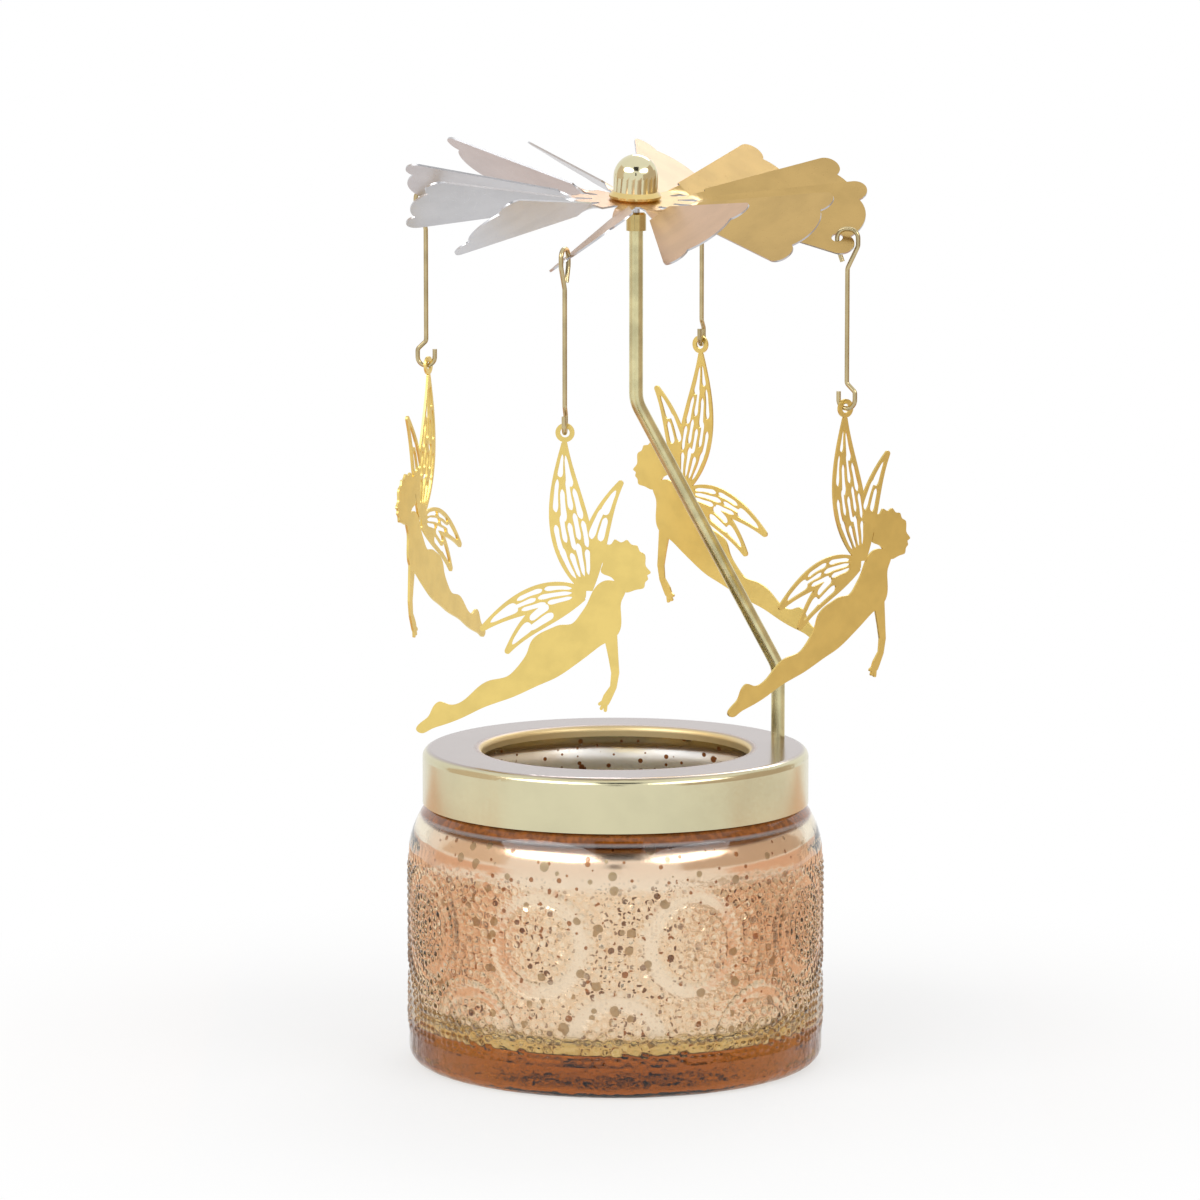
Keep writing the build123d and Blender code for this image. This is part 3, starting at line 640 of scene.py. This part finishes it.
class MastSettings(bpy.types.PropertyGroup):
    """Colours of the mast and the hub."""
    rod: bpy.props.FloatVectorProperty(
        name="Rod", description="Colour of the bent rod", subtype="COLOR",
        default=(0.64, 0.59, 0.34), min=0.0, max=1.0)
    cap: bpy.props.FloatVectorProperty(
        name="Cap", description="Colour of the domed cap", subtype="COLOR",
        default=(0.72, 0.67, 0.44), min=0.0, max=1.0)
    brass: bpy.props.FloatVectorProperty(
        name="Brass", description="Colour of the collar and ferrule", subtype="COLOR",
        default=(0.76, 0.58, 0.24), min=0.0, max=1.0)


class CAROUSEL_OT_mast(bpy.types.Operator):
    """Finishes the rod, ferrule, needle and hub"""
    bl_idname = "carousel.mast"
    bl_label = "Mast and hub"

    def execute(self, context):
        settings = context.scene.carousel_mast
        drawn = (1.0, 1.0, 0.02)
        finish_nodes(plated_metal("drawn_rod", settings.rod, 0.26, 0.16, drawn, 1800.0), "mast_rod")
        finish_nodes(plated_metal("bright_cap", settings.cap, 0.11, 0.03), "dome_cap")
        finish_nodes(plated_metal("bright_brass", settings.brass, 0.14, 0.06), "hub_collar", "hub_rivet")
        finish_nodes(plated_metal("dark_brass", shade(settings.brass, 0.75), 0.22, 0.1), "mast_ferrule")
        finish_nodes(plated_metal("ground_steel", (0.55, 0.55, 0.57), 0.18), "pivot_needle", "bearing_cup")
        return {"FINISHED"}


# Rotor, hangers and figures

class RotorSettings(bpy.types.PropertyGroup):
    """Colours of the rotor, its hangers and the figures."""
    upper: bpy.props.FloatVectorProperty(
        name="Upper side", description="Colour of the rotor's lacquered upper side", subtype="COLOR",
        default=(0.56, 0.38, 0.145), min=0.0, max=1.0)
    # Painted reflection: this pinkish tone stands in for what the blades that point away from the gold
    # direction reflect
    painted_rose: bpy.props.FloatVectorProperty(
        name="Rose side", description="Colour of the lacquer away from the gold direction",
        subtype="COLOR", default=(0.58, 0.37, 0.22), min=0.0, max=1.0)
    lower: bpy.props.FloatVectorProperty(
        name="Lower side", description="Colour of the rotor's bare lower side", subtype="COLOR",
        default=(0.58, 0.58, 0.60), min=0.0, max=1.0)
    figure: bpy.props.FloatVectorProperty(
        name="Figure", description="Colour of the winged figures", subtype="COLOR",
        default=(0.80, 0.61, 0.20), min=0.0, max=1.0)
    wire: bpy.props.FloatVectorProperty(
        name="Wire", description="Colour of the hangers' wire", subtype="COLOR",
        default=(0.52, 0.43, 0.24), min=0.0, max=1.0)


class CAROUSEL_OT_rotor(bpy.types.Operator):
    """Finishes the rotor, the hangers and the figures"""
    bl_idname = "carousel.rotor"
    bl_label = "Rotor and figures"

    def execute(self, context):
        settings = context.scene.carousel_rotor
        finish_nodes(two_sided_sheet(
            "rotor_sheet", settings.upper, settings.painted_rose, settings.lower, 0.30), "rotor_fan")
        wire = plated_metal("hanger_wire", settings.wire, 0.24, 0.12)
        figure = plated_metal("figure_sheet", settings.figure, 0.34, 0.05)
        finish_nodes(wire, *("hanger_" + side for side in SIDES))
        finish_nodes(figure, *("figure_" + side for side in SIDES))
        return {"FINISHED"}


# Tealight

class CAROUSEL_OT_tealight(bpy.types.Operator):
    """Finishes the tealight in the jar"""
    bl_idname = "carousel.tealight"
    bl_label = "Tealight"

    def execute(self, context):
        finish_nodes(plated_metal("drawn_aluminium", (0.78, 0.78, 0.80), 0.25), "tealight_cup")
        wax = plain_finish("wax", (0.86, 0.83, 0.76), 0.45, 0.03, Subsurface_Weight=0.3)
        finish_nodes(wax, "tealight_wax")
        finish_nodes(plain_finish("wick_cotton", (0.75, 0.72, 0.65), 0.9, 0.1), "tealight_wick")
        finish_nodes(plated_metal("tinplate", (0.60, 0.60, 0.61), 0.3), "wick_holder")
        return {"FINISHED"}


# Stage

class StageSettings(bpy.types.PropertyGroup):
    """Camera and light."""
    distance: bpy.props.FloatProperty(
        name="Distance", description="From the camera to the point it aims at", default=1.3, unit="LENGTH")
    elevation: bpy.props.FloatProperty(
        name="Elevation", description="Angle of the camera above level", subtype="ANGLE",
        default=radians(7.938))
    aim: bpy.props.FloatVectorProperty(
        name="Aim", description="Point that the camera looks at", unit="LENGTH",
        default=(-0.003376, 0.0, 0.100868))
    lens: bpy.props.FloatProperty(name="Lens", description="Focal length, mm", default=179.807)
    ambient: bpy.props.FloatProperty(
        name="Ambient", description="Strength of the soft light all round", default=0.55)


def plane(name, size, place, turn_x, turn_z, material):
    """A flat sheet made at its place. Returns the object."""
    mesh = bmesh.new()
    bmesh.ops.create_grid(mesh, x_segments=1, y_segments=1, size=0.5)
    bmesh.ops.transform(mesh, verts=mesh.verts, matrix=(
        Matrix.Translation(place) @ Matrix.Rotation(turn_z, 4, "Z") @ Matrix.Rotation(turn_x, 4, "X")
        @ Matrix.Diagonal((size[0], size[1], 1.0, 1.0))))
    sheet = mesh_object(name, mesh, material, smooth=False)
    return sheet


def seen_ray(material):
    """1 for rays from the camera, and for those that metal and glass send on."""
    paths = add(material, "LightPath")
    seen = larger(material, paths.outputs["Is Camera Ray"], paths.outputs["Is Glossy Ray"])
    return larger(material, seen, paths.outputs["Is Transmission Ray"])


def paper_white():
    """White paper: plain paper under the object, where its shadow falls, and pure white further out."""
    material, shader = new_material("paper", Base_Color=(0.92, 0.92, 0.92, 1.0), Roughness=0.9)
    place = add(material, "TexCoord")
    reach = add(material, "VectorMath", {0: place.outputs["Object"]}, operation="LENGTH").outputs["Value"]
    far = add(material, "MapRange", {
        "Value": reach, "From Min": 0.07, "From Max": 0.20, "To Min": 0.62, "To Max": 1.0},
        interpolation_type="SMOOTHSTEP").outputs["Result"]
    white = add(material, "Emission", {"Color": (1.0, 1.0, 1.0, 1.0), "Strength": 1.0})
    mixed = add(material, "MixShader", {
        0: product(material, far, seen_ray(material)), 1: shader.outputs["BSDF"],
        2: white.outputs["Emission"]})
    output = material.node_tree.nodes["Material Output"]
    connect(material, output.inputs["Surface"], mixed.outputs["Shader"])
    return material


def reflection_card(name, tone, size, place, turn_x, turn_z):
    """A dark or warm card that shows only in reflections and through glass."""
    material, shader = new_material(name, Roughness=0.9)
    cloud = object_noise(material, 2.0)
    connect(material, shader.inputs["Base Color"], ramp(
        material, cloud, *NOISE_SPAN, (0.0, 0.0, 0.0, 1.0), (0.01, 0.01, 0.01, 1.0)))
    shader.inputs["Emission Color"].default_value = tone + (1.0,)
    shader.inputs["Emission Strength"].default_value = 1.0
    card = plane(name, size, place, turn_x, turn_z, material)
    card.visible_camera = False
    card.visible_diffuse = False
    card.visible_shadow = False


def soft_light(name, place, aim, size, power):
    """An oval lamp that faces its aim."""
    lamp = bpy.data.lights.new(name, "AREA")
    lamp.shape = "ELLIPSE"
    lamp.size, lamp.size_y = size
    lamp.energy = power
    holder = bpy.data.objects.new(name, lamp)
    holder.location = place
    holder.rotation_euler = (Vector(aim) - Vector(place)).to_track_quat("-Z", "Y").to_euler()
    bpy.context.collection.objects.link(holder)


class CAROUSEL_OT_stage(bpy.types.Operator):
    """Sets the camera, the floor and the studio light"""
    bl_idname = "carousel.stage"
    bl_label = "Stage"

    def execute(self, context):
        settings = context.scene.carousel_stage
        scene = context.scene
        back = Vector((0.0, -cos(settings.elevation), sin(settings.elevation)))
        camera = bpy.data.objects.new("camera", bpy.data.cameras.new("camera"))
        camera.location = Vector(settings.aim) + back * settings.distance
        camera.rotation_euler = (pi / 2 - settings.elevation, 0.0, 0.0)
        camera.data.lens = settings.lens
        camera.data.sensor_width = 36.0
        camera.data.clip_start = 0.01
        context.collection.objects.link(camera)
        scene.camera = camera
        scene.view_settings.view_transform = "Standard"

        plane("floor", (6.0, 6.0), (0.0, 0.0, 0.0), 0.0, 0.0, paper_white())
        dark, floor_tone = (0.02, 0.02, 0.02), (0.78, 0.49, 0.35)
        right_tone, left_tone = (0.60, 0.48, 0.38), (0.76, 0.62, 0.50)
        reflection_card("overhead_gap", dark, (0.62, 0.62), (0.05, -1.1, 1.2), pi / 4, 0.0)
        reflection_card("camera_gap", dark, (0.22, 0.5), (0.0, -1.9, 0.65), pi / 2, 0.0)
        reflection_card("right_wall", right_tone, (1.5, 1.6), (1.5, 0.0, 0.6), pi / 2, pi / 2)
        reflection_card("right_low_card", right_tone, (1.1, 0.34), (0.5, -0.1, 0.17), pi / 2, pi / 2)
        reflection_card("left_wall", left_tone, (1.5, 1.6), (-1.6, 0.1, 0.6), pi / 2, pi / 2)
        for name, side in (("left_floor_card", -1), ("right_floor_card", 1)):
            reflection_card(name, floor_tone, (0.22, 0.4), (side * 0.2, 0.09, 0.001), 0.0, 0.0)
        middle = (0.0, 0.0, 0.1)
        soft_light("key", (-1.0, -1.0, 1.15), middle, (1.8, 0.7), 12.5)
        soft_light("fill", (1.1, -0.9, 1.0), middle, (1.6, 0.6), 7.3)
        soft_light("rim", (0.3, 1.2, 1.0), middle, (0.9, 0.5), 4.0)

        world = bpy.data.worlds.new("studio")
        world.use_nodes = True
        scene.world = world
        strength = value_range(world, seen_ray(world), settings.ambient, 1.0)
        background = world.node_tree.nodes["Background"]
        background.inputs["Color"].default_value = (1.0, 1.0, 1.0, 1.0)
        connect(world, background.inputs["Strength"], strength)
        return {"FINISHED"}


class CAROUSEL_PT_panel(bpy.types.Panel):
    """Lists the carousel's pieces"""
    bl_idname = "CAROUSEL_PT_panel"
    bl_label = "Candle carousel"
    bl_space_type = "VIEW_3D"
    bl_region_type = "UI"
    bl_category = "Carousel"

    def draw(self, context):
        for operator in OPERATORS:
            self.layout.operator(operator.bl_idname)
        for group in GROUPS:
            for name in GROUPS[group].__annotations__:
                self.layout.prop(getattr(context.scene, group), name)


GROUPS = {
    "carousel_jar": JarSettings,
    "carousel_lid": LidSettings,
    "carousel_mast": MastSettings,
    "carousel_rotor": RotorSettings,
    "carousel_stage": StageSettings,
}
OPERATORS = (
    CAROUSEL_OT_stage, CAROUSEL_OT_jar, CAROUSEL_OT_lid, CAROUSEL_OT_mast, CAROUSEL_OT_rotor,
    CAROUSEL_OT_tealight,
)


def register():
    for kind in (*GROUPS.values(), *OPERATORS, CAROUSEL_PT_panel):
        bpy.utils.register_class(kind)
    for name, group in GROUPS.items():
        setattr(bpy.types.Scene, name, bpy.props.PointerProperty(type=group))


def unregister():
    for name in GROUPS:
        delattr(bpy.types.Scene, name)
    for kind in (CAROUSEL_PT_panel, *reversed(OPERATORS), *GROUPS.values()):
        bpy.utils.unregister_class(kind)


def main():
    register()
    bpy.ops.carousel.stage()
    bpy.ops.carousel.jar()
    bpy.ops.carousel.lid()
    bpy.ops.carousel.mast()
    bpy.ops.carousel.rotor()
    bpy.ops.carousel.tealight()


if __name__ == "__main__":
    main()
